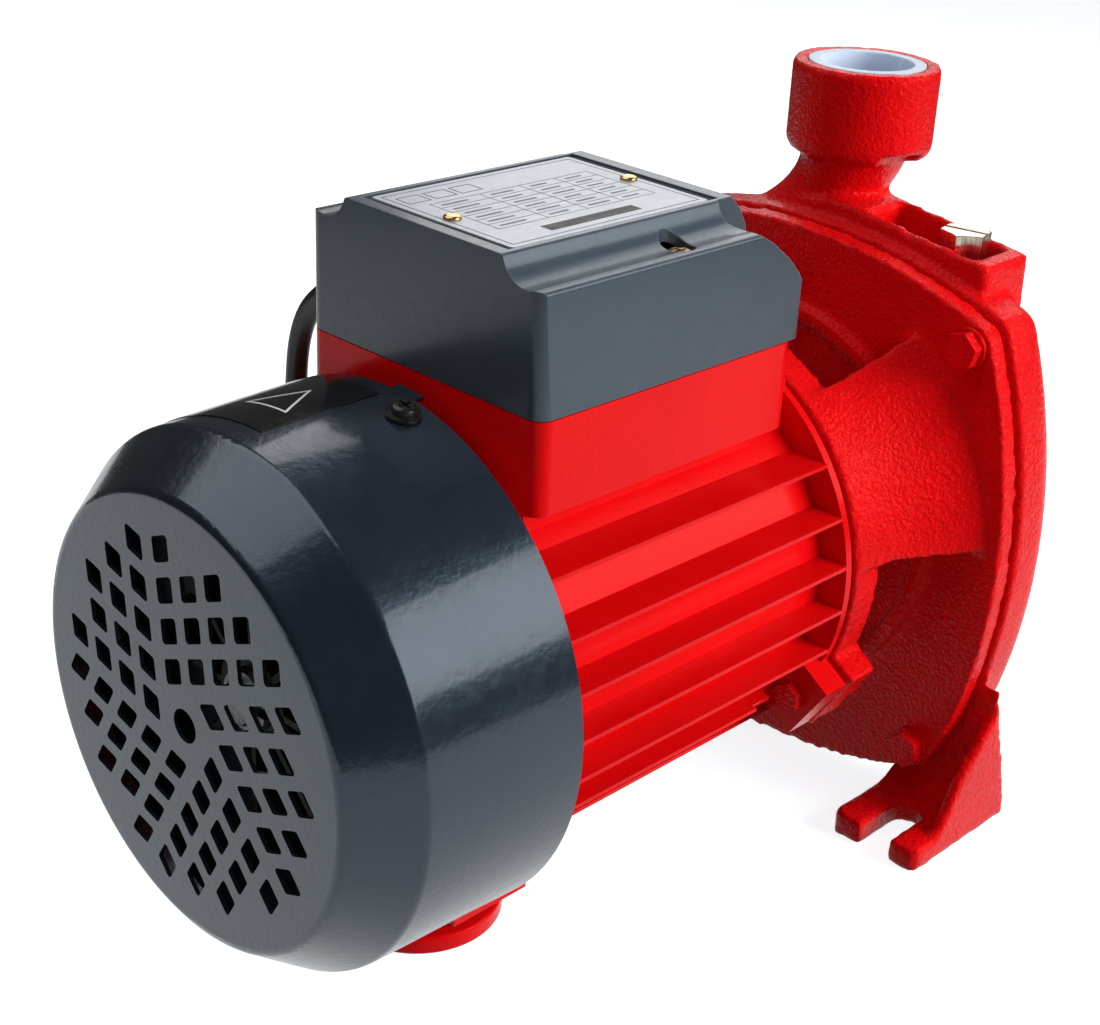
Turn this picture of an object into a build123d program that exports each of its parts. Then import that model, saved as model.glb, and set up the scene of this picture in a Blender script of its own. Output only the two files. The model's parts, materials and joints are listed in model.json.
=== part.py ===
from build123d import *
import math
import os

# Close-coupled centrifugal water pump, 0.75 kW class, G1 ports, in millimetres.
# The parts are drawn with X measured from the fan cover's flat face towards the suction port, and Z
# measured from the shaft's centre line. place() then moves them to the model's own frame, whose
# origin is midway between the two foot bolts, on the floor.

SHAFT_HEIGHT = 92.0
FOOT_BOLT_X = 210.0

# Fan cover
COVER_FACE_R = 60.25
COVER_SHOULDER_X = 16.0
COVER_SHOULDER_R = 72.3
COVER_RIM_X = 64.3
COVER_RIM_R = 73.8
COVER_WALL = 1.2
COVER_BEND_R = 3.2
GRILLE_PITCH = 10.8
GRILLE_HOLE = 0.64
GRILLE_START_DEG = 23.4
COVER_SCREW_X = 57.0
COVER_SCREW_ANGLES = (79.0, 199.0, 281.0)
STICKER_X = (23.5, 59.5)
STICKER_ANGLES = (88.5, 128.0)

# Motor
SHELL_R = 55.0
SHELL_BORE_R = 51.0
FRAME_START_X = 62.5
FRAME_END_X = 186.5
COLLAR_R = 64.0
COLLAR_X = 183.0
FIN_PITCH = 14.25
FIN_FIRST_Z = 36.5
FIN_COUNT = 7
FIN_TIP = 1.2
FIN_ROOT = 2.4
ROTOR_R = 28.5
AIR_GAP = 0.5

# Terminal box
BOX_X0 = 74.0
BOX_X1 = 172.5
BOX_HALF = 44.4
BOX_FLOOR_Z = 49.5
BOX_RIM_Z = 75.0
BOX_WALL = 3.0
BOX_CORNER_R = 4.5
GASKET = 0.35
LID_LEDGE_Z = 108.0
LID_TOP_Z = 114.2
LID_TOP_HALF = 29.3
LID_WALL = 2.5
LID_SEAT_Z = 104.6
LID_VISOR = 3.4
LID_LEAN = 0.9
PLATE_X = 116.2
PLATE_LENGTH = 72.0
PLATE_WIDTH = 53.0
PLATE_Z = LID_TOP_Z - 0.9
RIVET_X = (84.5, 149.0)

# Bracket and casing
FLANGE_X0 = 225.0
FLANGE_X1 = 232.0
FLANGE_GAP = 1.4
FLANGE_HALF = 88.4
FLANGE_CORNER = 73.5
FLANGE_BOLT_Y = 67.7
CASING_X0 = FLANGE_X1 + FLANGE_GAP
CASING_X1 = 257.3
CASING_ROUNDING = 13.8
CHAMBER_R = 75.0
CHAMBER_X1 = 255.5
SPIGOT_R = 78.0
BRACKET_X0 = 186.5
BRACKET_R = 65.0
ARM_ANGLES = (5.0, 53.5)
LUG_ANGLE = -33.0
EAR_ANGLE = 79.0
TIE_BOLT_R = 65.0

# Ports: G1 female threads drawn at their minor diameter
PORT_X = 254.6
PORT_BOSS_R = 22.8
PORT_TOP_Z = 134.6
PORT_BOSS_LENGTH = 28.0
THREAD_R = 15.15
THREAD_LENGTH = 18.0
MOUTH_R = 18.2
MOUTH_DEPTH = 9.0
PASSAGE_R = 13.0
SUCTION_X = 296.6
PRIMING_AT = (248.5, -47.0)
DRAIN_Z = -63.0

# Feet
FOOT_OUTER_Y = 91.5
FOOT_INNER_Y = 59.2
FOOT_SLOT_Y = 75.8
FOOT_SLOT_WIDTH = 11.0
FOOT_TIP_X = 198.0
FOOT_SLOT_END_X = 215.0
FOOT_PLATE = 8.0
FOOT_BACK_X = 248.0
SUPPORT_X = 77.0
SUPPORT_R = 24.5
PEDESTAL_Z = -79.0

# Shaft and bearings
REAR_BEARING = dict(x0=46.0, width=11.0, bore=7.5, outer=17.5, balls=8)
FRONT_BEARING = dict(x0=188.0, width=12.0, bore=8.5, outer=20.0, balls=8)
SHAFT_STEPS = ((15, 45, 6.0), (45, 60, 7.5), (60, 187, 9.0), (187, 201, 8.5), (201, 240, 7.5),
               (240, 254, 6.0), (254, 263, 5.0))
IMPELLER_R = 66.0

# Supply cord
CORD_R = 3.5
GLAND_X = 121.0
GLAND_Z = 65.4
SLEEVE_Y0 = 52.5
SLEEVE_Y1 = 72.5
COIL_X = 148.0
COIL_Y = 72.0
COIL_MID_R = 38.5
CORD_FLOOR_Z = -SHAFT_HEIGHT + CORD_R
COIL_TOP_Z = CORD_FLOOR_Z + 13.0
CORD_ROUTE = [
    (GLAND_X, SLEEVE_Y1, GLAND_Z), (121, 88.0, GLAND_Z), (120.6, 102.2, 57.2), (120, 109.6, 43.0),
    (118.5, 109.6, 22), (116, 109.4, 1), (113, 109.8, -20), (110.6, 110.1, -38), (110.3, 110.3, -53.5),
    (118, 110.4, -67.5), (132.5, 110.5, -75.3), (COIL_X, 110.5, COIL_TOP_Z),
]
PLUG_CORD_ROUTE = [(COIL_X, COIL_Y + 42, CORD_FLOOR_Z), (162, 114.6, CORD_FLOOR_Z), (178, 116, -84.9)]


def place(shape):
    """Moves a shape from the drawing's origin to the model's."""
    return shape.moved(Location((-FOOT_BOLT_X, 0, SHAFT_HEIGHT)))


def rod(x0, x1, r, r_in=0.0, y=0.0, z=0.0):
    """Cylinder or ring lying along X."""
    ring = Circle(r)
    if r_in:
        ring = ring - Circle(r_in)
    return extrude(Plane.YZ.offset(x0) * Pos(y, z) * ring, x1 - x0)


def post(x, y, z0, z1, r, r_in=0.0):
    """Cylinder or ring standing along Z."""
    ring = Circle(r)
    if r_in:
        ring = ring - Circle(r_in)
    return extrude(Plane.XY.offset(z0) * Pos(x, y) * ring, z1 - z0)


def block(x0, x1, y0, y1, z0, z1):
    """Box between two corners."""
    size = (x1 - x0, y1 - y0, z1 - z0)
    return Pos((x0 + x1) / 2, (y0 + y1) / 2, (z0 + z1) / 2) * Box(*size)


def turned(points):
    """Solid of revolution about the shaft, from (x, r) points."""
    return revolve(make_face(Polyline(*points, close=True)), Axis.X)


def at_angle(angle, r):
    """Y and Z of a point at r from the shaft, at an angle that rises from -Y."""
    a = math.radians(angle)
    return -r * math.cos(a), r * math.sin(a)


def spin(shape, angle):
    """Turns a shape drawn pointing along -Y by an angle that rises from -Y."""
    return shape.rotate(Axis.X, -angle)


def both_sides(shape):
    """A shape with its mirror image across the XZ plane."""
    return [shape, mirror(shape, Plane.XZ)]


def hexagon(across_flats, length):
    """Hexagonal prism standing on the XY plane."""
    return extrude(RegularPolygon(across_flats / math.sqrt(3), 6), length)


def bulged_square(half, corner, rounding):
    """Square with bowed sides: half is the reach of a side's middle, corner that of its ends."""
    c = corner
    sides = [
        ThreePointArc((c, -c), (half, 0), (c, c)),
        ThreePointArc((c, c), (0, half), (-c, c)),
        ThreePointArc((-c, c), (-half, 0), (-c, -c)),
        ThreePointArc((-c, -c), (0, -half), (c, -c)),
    ]
    face = make_face(sides)
    return fillet(face.vertices(), rounding)


def plate_yz(face, x0, x1):
    """Extrudes a face drawn in Y and Z from x0 to x1."""
    return extrude(Plane.YZ.offset(x0) * face, x1 - x0)


def corners(y, z):
    return [(sy * y, sz * z) for sy in (-1, 1) for sz in (-1, 1)]


# --- fan cover -------------------------------------------------------------------------------------

def grille_holes():
    """Five sectors of rhombic holes, each on the lattice of two neighbouring sector directions."""
    holes = []
    for sector in range(5):
        first = math.radians(GRILLE_START_DEG + 72 * sector)
        second = first + math.radians(72)
        u = (math.cos(first) * GRILLE_PITCH, math.sin(first) * GRILLE_PITCH)
        v = (math.cos(second) * GRILLE_PITCH, math.sin(second) * GRILLE_PITCH)
        for row, count in enumerate((5, 4, 3, 1)):
            for i in range(count):
                a, b, s = i - 0.26, row + 1.37, GRILLE_HOLE / 2
                corner_set = [(a - s, b - s), (a + s, b - s), (a + s, b + s), (a - s, b + s)]
                points = [(-(p * u[0] + q * v[0]), p * u[1] + q * v[1]) for p, q in corner_set]
                hole = make_face(Polyline(*points, close=True))
                holes.append(fillet(hole.vertices(), 1.0))
    return holes


def cover_radius(x):
    """Outer radius of the cover's side wall."""
    share = (x - COVER_SHOULDER_X) / (COVER_RIM_X - COVER_SHOULDER_X)
    return COVER_SHOULDER_R + share * (COVER_RIM_R - COVER_SHOULDER_R)


def cover_profile():
    """Section of the pressed cover in X and radius, with its bends rounded."""
    w = COVER_WALL
    outside = [(0, 0), (0, COVER_FACE_R), (COVER_SHOULDER_X, COVER_SHOULDER_R), (COVER_RIM_X, COVER_RIM_R)]
    inside = [(COVER_RIM_X, COVER_RIM_R - w), (COVER_SHOULDER_X + w / 3, COVER_SHOULDER_R - w),
              (w, COVER_FACE_R - w / 2), (w, 0)]
    profile = make_face(Polyline(*outside, *inside, close=True))
    bends = [(point, COVER_BEND_R) for point in outside[1:3]]
    bends += [(point, COVER_BEND_R - w) for point in inside[1:3]]
    for (x, r), bend in bends:
        corner = profile.vertices().sort_by_distance((x, r, 0))[0]
        profile = fillet(corner, bend)
    return profile


def fan_cover():
    w = COVER_WALL
    cover = revolve(cover_profile(), Axis.X)
    for hole in grille_holes():
        cover -= extrude(Plane.YZ.offset(-1) * hole, 4)
    cover -= rod(-1, 3, 4.6)
    tab = spin(block(COVER_RIM_X - 2, COVER_RIM_X + 3.2, -COVER_RIM_R, -COVER_RIM_R + w, -4.5, 4.5), 86)
    tab &= rod(0, 80, COVER_RIM_R, COVER_RIM_R - w)
    cover += tab
    for angle in COVER_SCREW_ANGLES:
        cover -= spin(Pos(COVER_SCREW_X, -72, 0) * Rot(90, 0, 0) * Cylinder(2.2, 10), angle)
    return cover


def cover_screws():
    """Pan-head screws with a washer, driven inwards through the cover's rim into the end shield."""
    r = cover_radius(COVER_SCREW_X)
    screw = turned_screw(head_r=3.5, head_h=2.4, shank_r=1.9, shank=10.5, washer_r=4.6, washer_h=0.8)
    screws = []
    for angle in COVER_SCREW_ANGLES:
        placed = Pos(COVER_SCREW_X, -r - 0.22, 0) * Rot(90, 0, 0) * screw
        screws.append(spin(placed, angle))
    return screws


def turned_screw(head_r, head_h, shank_r, shank, washer_r=0.0, washer_h=0.0):
    """Cross-slotted screw along Z: its seat is at z = 0 and the head above."""
    head = Pos(0, 0, washer_h + head_h / 2) * Cylinder(head_r, head_h)
    head = fillet(head.edges().sort_by(Axis.Z)[-1], head_h * 0.6)
    body = head + Pos(0, 0, (washer_h - shank) / 2) * Cylinder(shank_r, washer_h + shank)
    if washer_h:
        body += Pos(0, 0, washer_h / 2) * Cylinder(washer_r, washer_h)
    top = washer_h + head_h
    for turn in (0, 90):
        body -= Rot(0, 0, turn) * Pos(0, 0, top) * Box(head_r * 1.15, head_r * 0.26, head_h * 0.9)
    return body


def cover_sticker():
    """Plain film round the top of the cover."""
    x0, x1 = STICKER_X
    near, far = STICKER_ANGLES
    below = [(x, cover_radius(x) + 0.05) for x in (x0, x1)]
    above = [(x, r + 0.2) for x, r in reversed(below)]
    reach = 2 * COVER_RIM_R
    spokes = [at_angle(angle, reach) for angle in (near, (near + far) / 2, far)]
    sector = Polyline((0, 0), *spokes, close=True)
    return turned(below + above) & plate_yz(make_face(sector), x0 - 3, x1 + 3)


# --- motor -----------------------------------------------------------------------------------------

def cooling_fan():
    fan = rod(20, 42, 13.0, 6.0) + rod(39.5, 42, 52.0, 6.0)
    blade = block(20, 40, -55, -11, -1, 1)
    for i in range(8):
        fan += spin(blade, 45 * i)
    return fan


def fan_clip():
    return rod(17.5, 19.5, 8.5, 6.0) - block(17, 20, -10, 0, -1.5, 1.5)


def rear_end_shield():
    shield = rod(50, 55, 62.0, 17.5) + rod(50, FRAME_START_X - 0.1, 62.0, 54)
    shield += rod(52, 66, SHELL_BORE_R - 0.05, 47.5) + rod(52, FRAME_START_X - 0.1, 58, 47.5)
    shield += rod(42, 59, 22.0, 17.5) + rod(42, 44, 22.0, 10.0)
    for angle in COVER_SCREW_ANGLES:
        ear = spin(block(51, 62, -72.0, -56, -6.5, 6.5), angle)
        ear &= rod(40, 70, 72.1)
        shield += ear
    for i in range(6):
        shield += spin(block(46, 51, -62, -21, -1.25, 1.25), 60 * i + 20)
    for angle in COVER_SCREW_ANGLES:
        shield -= spin(Pos(COVER_SCREW_X, -67, 0) * Rot(90, 0, 0) * Cylinder(1.95, 12), angle)
    return shield


def wave_washer():
    return rod(44.2, 45.8, 17.2, 14.0)


def bearing(spec):
    """Outer ring, inner ring and ball cage of a deep-groove bearing."""
    x0, w, bore, outer, count = spec["x0"], spec["width"], spec["bore"], spec["outer"], spec["balls"]
    depth = outer - bore
    ball_r = depth * 0.27
    pitch = (outer + bore) / 2
    groove = Pos(x0 + w / 2, 0, 0) * Rot(0, 90, 0) * Torus(pitch, ball_r + 0.15)
    outer_ring = rod(x0, x0 + w, outer, pitch + depth * 0.17) - groove
    inner_ring = rod(x0, x0 + w, pitch - depth * 0.17, bore) - groove
    cage = rod(x0 + 1.5, x0 + w - 1.5, pitch + 1.0, pitch - 1.0)
    for i in range(count):
        y, z = at_angle(360 / count * i, pitch)
        cage += Pos(x0 + w / 2, y, z) * Sphere(ball_r)
    return outer_ring, inner_ring, cage


def shaft():
    body = rod(*SHAFT_STEPS[0])
    for step in SHAFT_STEPS[1:]:
        body += rod(*step)
    body -= block(241, 253.5, -2, 2, 4.0, 7)
    ends = [e for e in body.edges() if e.geom_type == GeomType.CIRCLE and
            (abs(e.center().X - SHAFT_STEPS[0][0]) < 0.1 or abs(e.center().X - SHAFT_STEPS[-1][1]) < 0.1)]
    return chamfer(ends, 0.8)


def rotor_core():
    return rod(86, 156, ROTOR_R, 9.0)


def rotor_cage():
    rings = []
    for x0, x1, tip in ((78, 86, 70), (156, 164, 172)):
        ring = rod(x0, x1, ROTOR_R - 1, 17)
        low, high = sorted((tip, x0 if tip < x0 else x1))
        for i in range(12):
            ring += spin(block(low, high, -ROTOR_R + 2, -20, -0.9, 0.9), 30 * i)
        rings.append(ring)
    return rings


def stator_core():
    core = rod(86, 156, SHELL_BORE_R, ROTOR_R + AIR_GAP)
    slot = block(85, 157, -44, -31.5, -2.2, 2.2)
    for i in range(24):
        core -= spin(slot, 15 * i)
    return core


def stator_winding():
    """End turns at both ends, joined by a bar in each slot."""
    coil = None
    for x0, x1 in ((67, 85.8), (156.2, 175)):
        ring = rod(x0, x1, 47, 32.5)
        ring = fillet(ring.edges(), 4)
        coil = ring if coil is None else coil + ring
    for i in range(24):
        coil += spin(block(84, 158, -43.6, -33, -1.9, 1.9), 15 * i)
    return coil


def fin_profile(z):
    """Horizontal tapered fin from inside the shell to the collar's radius, in Y and Z."""
    tip_y = math.sqrt(COLLAR_R ** 2 - z ** 2)
    root_y = math.sqrt(max(SHELL_R ** 2 - z ** 2, 0)) - 2.0
    r, t = FIN_ROOT / 2, FIN_TIP / 2
    outline = [(-root_y, z - r), (-root_y, z + r), (-tip_y, z + t), (-tip_y, z - t)]
    return make_face(Polyline(*outline, close=True))


def motor_frame():
    """Die-cast shell with side fins, end collar, terminal box and the pedestal of the rear foot."""
    frame = rod(FRAME_START_X, FRAME_END_X, SHELL_R)
    frame += rod(COLLAR_X, COLLAR_X + 2.5, COLLAR_R)
    frame += rod(FRAME_START_X, 66, 62.0)
    for i in range(FIN_COUNT):
        z = FIN_FIRST_Z - FIN_PITCH * i
        for fin in both_sides(plate_yz(fin_profile(z), FRAME_START_X, COLLAR_X + 0.5)):
            frame += fin
    for y in (-24, -8, 8, 24):
        depth = math.sqrt(COLLAR_R ** 2 - y ** 2)
        frame += block(FRAME_START_X, COLLAR_X + 0.5, y - 1.0, y + 1.0, -depth, -45)
    frame += terminal_base()
    for side in both_sides(frame_ears()):
        frame += side
    frame += pedestal()
    frame -= rod(FRAME_START_X - 1, FRAME_END_X + 1, SHELL_BORE_R)
    frame -= post(118, 0, 40, 60, 7)
    for y, z in tie_bolt_points():
        frame -= rod(160, 190, 2.75, y=y, z=z)
        frame -= rod(168, 176, 6.2, y=y, z=z)
    return frame


def tie_bolt_points():
    near_side = [at_angle(angle, TIE_BOLT_R) for angle in (LUG_ANGLE, EAR_ANGLE)]
    return near_side + [(-y, z) for y, z in near_side]


def frame_ears():
    """Ears that the tie bolts pass through, on one side."""
    ears = spin(block(176, COLLAR_X + 2.5, -72.5, -50, -11, 11), LUG_ANGLE)
    ears += spin(block(176, COLLAR_X + 2.5, -70.5, -50, -7, 7), EAR_ANGLE)
    return ears


def terminal_base():
    z0, z1 = BOX_FLOOR_Z, BOX_RIM_Z
    outer = Rectangle(BOX_X1 - BOX_X0, 2 * BOX_HALF)
    outer = fillet(outer.vertices(), BOX_CORNER_R)
    base = Pos((BOX_X0 + BOX_X1) / 2, 0, z0) * extrude(outer, z1 - z0)
    inner = Rectangle(BOX_X1 - BOX_X0 - 2 * BOX_WALL, 2 * (BOX_HALF - BOX_WALL))
    inner = fillet(inner.vertices(), BOX_CORNER_R - 2)
    base -= Pos((BOX_X0 + BOX_X1) / 2, 0, z0 + BOX_WALL) * extrude(inner, 40)
    base += block(BOX_X0 + 4, BOX_X1 - 4, -36, 36, 30, z0 + 1)
    base += block(BOX_X1 - 4, COLLAR_X + 1, -34, 34, 40, 58)
    for x, y in lid_screw_points():
        base += post(x, y, z0, z1 - 4, 4.5) & block(BOX_X0, BOX_X1, -BOX_HALF, BOX_HALF, z0, z1)
        base -= post(x, y, z0 + 6, z1, 1.7)
    base -= Pos(GLAND_X, BOX_HALF, GLAND_Z) * Rot(90, 0, 0) * Cylinder(8.1, 20)
    return base


def lid_screw_points():
    return [(129.2, -37.3), (97.0, 37.3)]


def pedestal():
    body = block(65.5, 93, -28, 28, PEDESTAL_Z, PEDESTAL_Z + 6)
    body += block(65.5, 89, -22, 22, PEDESTAL_Z, -50)
    body -= post(SUPPORT_X, 0, PEDESTAL_Z - 1, PEDESTAL_Z + 14, 2.5)
    return body


def support_foot():
    z = -SHAFT_HEIGHT
    outer = post(SUPPORT_X, 0, z, z + 5.5, SUPPORT_R)
    outer = fillet(outer.edges(), 1.0)
    foot = outer - post(SUPPORT_X, 0, z + 3.0, z + 7, 20.5)
    foot += post(SUPPORT_X, 0, z + 1, z + 9, 17.0) - post(SUPPORT_X, 0, z + 5, z + 10, 14.0)
    foot += post(SUPPORT_X, 0, z + 1, PEDESTAL_Z, 11.0)
    foot -= post(SUPPORT_X, 0, z - 1, PEDESTAL_Z + 1, 2.7)
    foot -= post(SUPPORT_X, 0, z - 1, z + 5, 6.5)
    return foot


def foot_screw():
    z = -SHAFT_HEIGHT
    return post(SUPPORT_X, 0, z + 1.5, z + 5, 5.5) + post(SUPPORT_X, 0, z + 5, PEDESTAL_Z + 12, 2.4)


# --- terminal box ----------------------------------------------------------------------------------

def lid_gasket():
    outer = Rectangle(BOX_X1 - BOX_X0 - 1, 2 * BOX_HALF - 1)
    outer = fillet(outer.vertices(), BOX_CORNER_R - 0.5)
    inner = Rectangle(BOX_X1 - BOX_X0 - 2 * BOX_WALL + 1, 2 * (BOX_HALF - BOX_WALL) + 1)
    ring = Pos((BOX_X0 + BOX_X1) / 2, 0, BOX_RIM_Z) * extrude(outer - inner, GASKET)
    for x, y in lid_screw_points():
        ring -= post(x, y, BOX_RIM_Z - 1, BOX_RIM_Z + 2, 2.0)
    return ring


def lid_section(inset):
    """Outline of the lid in Y and Z: upright sides, a ledge, a cove and the flat top."""
    side, edge = BOX_HALF - inset, LID_TOP_HALF - inset * 0.4
    ledge, top = LID_LEDGE_Z - inset, LID_TOP_Z - inset
    z0 = BOX_RIM_Z + GASKET
    brow = side - LID_LEAN
    right = [
        Line((side, z0), (brow, ledge - 1.2)),
        ThreePointArc((brow, ledge - 1.2), (brow - 0.4, ledge - 0.35), (brow - 1.3, ledge)),
        Line((brow - 1.3, ledge), (brow - 3.2, ledge)),
        ThreePointArc((brow - 3.2, ledge), (edge + 2.6, ledge + 1.9), (edge + 0.3, top - 0.5)),
        Line((edge + 0.3, top - 0.5), (edge - 0.4, top)),
    ]
    left = [mirror(edge_piece, Plane.YZ) for edge_piece in right]
    lines = right + [Line((edge - 0.4, top), (-edge + 0.4, top))] + left + [Line((-side, z0), (side, z0))]
    return make_face(lines)


def lid_body(inset, x0, x1):
    """Lid section run along X, rounded at its upright corners and sloped down at the bracket end."""
    body = plate_yz(lid_section(inset), x0, x1)
    plan = fillet(Rectangle(x1 - x0, 2 * (BOX_HALF - inset)).vertices(), max(BOX_CORNER_R - inset, 1.0))
    body &= Pos((x0 + x1) / 2, 0, BOX_RIM_Z) * extrude(plan, 60)
    end = [(x1 + 1, BOX_RIM_Z), (x1, BOX_RIM_Z), (x1 - 2.4, 92 - inset), (x1 - 4, 94.5 - inset),
           (x1 - 8.4, 99 - inset)]
    side_slope = end + [(x1 - 15.7, 104.6 - inset), (x1 - 23.5, 109 - inset), (x1 - 23.5, 130), (x1 + 1, 130)]
    top_slope = end + [(x1 - 9.6, 105 - inset), (x1 - 12.4, 110 - inset), (x1 - 16.8, LID_TOP_Z - inset),
                       (x1 - 16.8, 130), (x1 + 1, 130)]
    side_cut = extrude(Plane.XZ * make_face(Polyline(*side_slope, close=True)), 60, both=True)
    side_cut -= block(BOX_X0, x1 + 5, 1 - LID_TOP_HALF, LID_TOP_HALF - 1, 60, 140)
    top_cut = extrude(Plane.XZ * make_face(Polyline(*top_slope, close=True)), 60, both=True)
    return body - side_cut - top_cut


def terminal_lid():
    lid = lid_body(0.0, BOX_X0, BOX_X1 + LID_VISOR)
    hollow = lid_body(LID_WALL, BOX_X0 + LID_WALL, BOX_X1 + LID_VISOR - LID_WALL)
    hollow &= block(0, BOX_X1 - LID_WALL, -60, 60, 60, 88) + block(0, BOX_X1 - 25, -60, 60, 60, 140)
    lid -= hollow
    length, width = PLATE_LENGTH / 2 + 2.5, PLATE_WIDTH / 2 + 1
    lid -= block(PLATE_X - length, PLATE_X + length, -width, width, PLATE_Z, LID_TOP_Z + 2)
    for x, y in lid_screw_points():
        lid += post(x, y, BOX_RIM_Z + GASKET, LID_SEAT_Z + 1, 5.6) & lid_body(0.5, BOX_X0 + 1, BOX_X1)
        lid -= post(x, y, BOX_RIM_Z - 1, 130, 2.1)
        pocket = SlotOverall(10.6, 8.4, rotation=90)
        lid -= Pos(x, math.copysign(abs(y) - 1.2, y), LID_SEAT_Z) * extrude(pocket, 14)
    return lid


def lid_screws():
    screw = turned_screw(head_r=3.8, head_h=2.4, shank_r=1.65, shank=35.0)
    return [Pos(x, y, LID_SEAT_Z + 0.05) * screw for x, y in lid_screw_points()]


def nameplate():
    plate = Rectangle(PLATE_LENGTH, PLATE_WIDTH)
    plate = fillet(plate.vertices(), 1.2)
    body = Pos(PLATE_X, 0, PLATE_Z + 0.05) * extrude(plate, 0.5)
    for x in RIVET_X:
        body -= post(x, 0, PLATE_Z - 1, PLATE_Z + 2, 1.25)
    return body


def nameplate_rivets():
    rivets = []
    z = PLATE_Z + 0.6
    for x in RIVET_X:
        head = post(x, 0, z, z + 1.0, 2.4)
        head = fillet(head.edges().sort_by(Axis.Z)[-1], 0.8)
        rivets.append(head + post(x, 0, z - 0.55, z + 0.2, 1.2))
    return rivets


def terminal_block():
    z0 = SHELL_R + 0.2
    body = block(86, 102, -30, 14, z0, z0 + 14)
    for y in (-24, -14, -4, 6):
        body -= post(94, y, z0 + 8, z0 + 15, 2.4)
    return body


def capacitor():
    can = rod(109, 167, 14.0, y=16, z=SHELL_R + 12.5)
    return fillet(can.edges(), 1.5)


def cable_gland():
    """Gland body through the box wall, with its cap."""
    body = Pos(0, 0, -6) * Cylinder(8.0, 12) + hexagon(20, 3.6)
    cap = Pos(0, 0, 5.8) * Cylinder(9.6, 4.4)
    cap = fillet(cap.edges().sort_by(Axis.Z)[-1], 2.0)
    body += cap
    body -= Cylinder(CORD_R + 0.1, 60)
    return Pos(GLAND_X, BOX_HALF + 0.05, GLAND_Z) * Rot(-90, 0, 0) * body


def gland_nut():
    nut = hexagon(19.5, 4) - Cylinder(8.05, 12)
    return Pos(GLAND_X, BOX_HALF - BOX_WALL - 4.1, GLAND_Z) * Rot(-90, 0, 0) * nut


def cord_sleeve():
    """Tapered strain relief with ring grooves."""
    length = SLEEVE_Y1 - SLEEVE_Y0
    sleeve = Pos(0, 0, length / 2) * Cone(6.2, 4.5, length)
    for i in range(4):
        z = 5 + 3.8 * i
        sleeve -= Pos(0, 0, z) * (Cylinder(8, 1.2) - Cylinder(4.5, 1.2))
    return Pos(GLAND_X, SLEEVE_Y0, GLAND_Z) * Rot(-90, 0, 0) * sleeve


# --- cord ------------------------------------------------------------------------------------------

def bend_radii(points):
    """For each inner point, 0.45 of the shorter run over the tangent of half the turn."""
    radii = []
    for a, b, c in zip(points, points[1:], points[2:]):
        before, after = Vector(*b) - Vector(*a), Vector(*c) - Vector(*b)
        half_turn = math.radians(before.get_angle(after)) / 2
        radii.append(0.45 * min(before.length, after.length) / math.tan(half_turn))
    return radii


def cord_tube(points):
    """Round tube along straight runs joined by tangent arcs."""
    radii = bend_radii(points)
    path = FilletPolyline(*points, radius=radii)
    start = Plane(origin=points[0], z_dir=Vector(*points[1]) - Vector(*points[0]))
    tube = sweep(start * Circle(CORD_R), path=path)
    print("cord radii", [round(r, 1) for r in radii], "length", round(path.length, 1),
          "volume ratio", round(tube.volume / (math.pi * CORD_R ** 2 * path.length), 4))
    return tube


def supply_cord():
    return cord_tube(CORD_ROUTE)


def cord_coil():
    """Outer shape of the stored turns."""
    half = 2 * CORD_R
    r0, r1 = COIL_MID_R - half, COIL_MID_R + half
    z0 = -SHAFT_HEIGHT
    ring = post(COIL_X, COIL_Y, z0, COIL_TOP_Z + CORD_R, r1, r0)
    return fillet(ring.edges(), 2.5)


def plug_cord():
    return cord_tube(PLUG_CORD_ROUTE)


def mains_plug():
    """Round moulded plug with two pins, lying on its rim and its cord end."""
    body = turned([(0, 0), (0, 4.6), (16, 6.2), (26, 10.5), (32, 16.5), (48, 18.3), (50, 17.6), (50, 0)])
    body -= block(20, 47, -30, -10.2, -30, 30) + block(20, 47, 10.2, 30, -30, 30) - rod(31, 60, 30)
    for y in (-9.5, 9.5):
        pin = rod(49, 69, 2.4, y=y)
        body += fillet(pin.edges().sort_by(Axis.X)[-1], 1.2)
    along = Vector(*PLUG_CORD_ROUTE[-1]) - Vector(*PLUG_CORD_ROUTE[-2])
    side = Vector(0, 0, 1).cross(along)
    return Plane(origin=PLUG_CORD_ROUTE[-1], x_dir=along, z_dir=along.cross(side)) * body


# --- bracket ---------------------------------------------------------------------------------------

def flange_face(grow=0.0):
    return bulged_square(FLANGE_HALF + grow, FLANGE_CORNER + grow, 9.0)


def bracket_arm():
    """Bell-shaped arm on the -Y side, between two angles."""
    root, skin_end = (BRACKET_X0, BRACKET_R), (FLANGE_X0 + 1, 85.5)
    inner_root, inner_end = (BRACKET_X0, 59.5), (FLANGE_X0 + 1, 79.0)
    outer = ThreePointArc(root, (207, 71.5), skin_end)
    inner = ThreePointArc(inner_end, (205, 65.5), inner_root)
    section = make_face([outer, Line(skin_end, inner_end), inner, Line(inner_root, root)])
    low, high = ARM_ANGLES
    arm = revolve(section, Axis.X, revolution_arc=high - low)
    return spin(arm.rotate(Axis.X, 180), high)


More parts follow.
